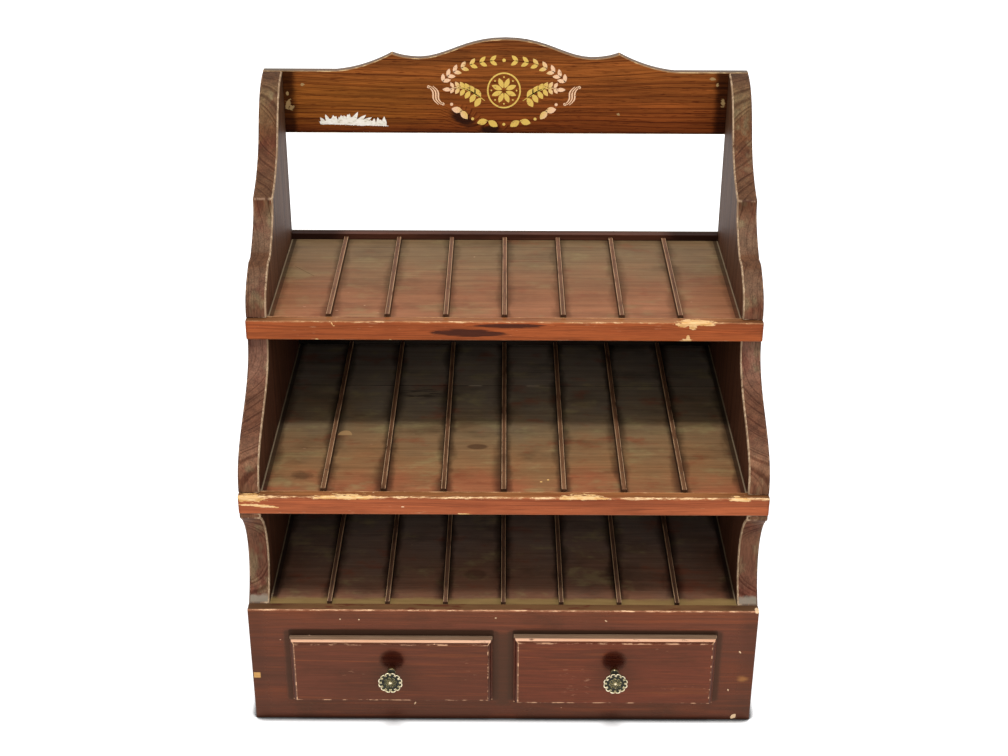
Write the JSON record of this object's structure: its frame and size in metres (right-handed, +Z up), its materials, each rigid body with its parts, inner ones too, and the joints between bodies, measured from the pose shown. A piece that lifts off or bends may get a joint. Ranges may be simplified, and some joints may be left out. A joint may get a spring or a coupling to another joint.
{
  "type": "spice chest",
  "caption": "Stepped wooden spice rack with scrolled sides, a shaped crest, ribbed jar shelves and small lipped drawers with flower knobs in its base.",
  "frame": {"origin": "middle of the chest's footprint, at table height", "axes": "+X to the user's right, -Y towards the user with the drawers opening that way, +Z up"},
  "size_m": [0.407, 0.2968, 0.4961],
  "materials": {
    "stained_pine": "aged red-brown varnish, satin",
    "crest_pine": "golden-brown varnish, satin",
    "shelf_pine": "worn brown varnish, satin",
    "strip_pine": "worn varnish",
    "bare_pine": "bare sanded wood",
    "hardboard": "matt pressed board",
    "antique_brass": "cast, dark patina in the hollows",
    "zinc_steel": "dull zinc plate"
  },
  "bodies": {
    "chest": {"left_side": "stained_pine", "right_side": "stained_pine", "crest_board": "crest_pine", "back_panel": "hardboard", "rear_rail": "stained_pine", "top_shelf": "shelf_pine", "middle_shelf_front": "shelf_pine", "middle_shelf_rear": "shelf_pine", "lower_shelf": "shelf_pine", "top_lip": "stained_pine", "middle_lip": "stained_pine", "base_front": "stained_pine", "base_bottom": "bare_pine", "left_drawer_guide": "bare_pine", "centre_drawer_guide": "bare_pine", "right_drawer_guide": "bare_pine", "top_strip_1": "strip_pine", "top_strip_2": "strip_pine", "top_strip_3": "strip_pine", "top_strip_4": "strip_pine", "top_strip_5": "strip_pine", "top_strip_6": "strip_pine", "top_strip_7": "strip_pine", "middle_strip_1": "strip_pine", "middle_strip_2": "strip_pine", "middle_strip_3": "strip_pine", "middle_strip_4": "strip_pine", "middle_strip_5": "strip_pine", "middle_strip_6": "strip_pine", "middle_strip_7": "strip_pine", "lower_strip_1": "strip_pine", "lower_strip_2": "strip_pine", "lower_strip_3": "strip_pine", "lower_strip_4": "strip_pine", "lower_strip_5": "strip_pine", "lower_strip_6": "strip_pine", "lower_strip_7": "strip_pine"},
    "left_drawer": {"left_drawer_front": "stained_pine", "left_drawer_left_wall": "bare_pine", "left_drawer_right_wall": "bare_pine", "left_drawer_rear": "bare_pine", "left_drawer_floor": "hardboard", "left_knob": "antique_brass", "left_knob_screw": "zinc_steel"},
    "right_drawer": {"right_drawer_front": "stained_pine", "right_drawer_left_wall": "bare_pine", "right_drawer_right_wall": "bare_pine", "right_drawer_rear": "bare_pine", "right_drawer_floor": "hardboard", "right_knob": "antique_brass", "right_knob_screw": "zinc_steel"}
  },
  "joints": [
    {"name": "left_drawer_slide", "type": "slide", "parent": "chest", "child": "left_drawer", "axis": [0, -1, 0], "range_m": [0, 0.18]},
    {"name": "right_drawer_slide", "type": "slide", "parent": "chest", "child": "right_drawer", "axis": [0, -1, 0], "range_m": [0, 0.18]}
  ]
}
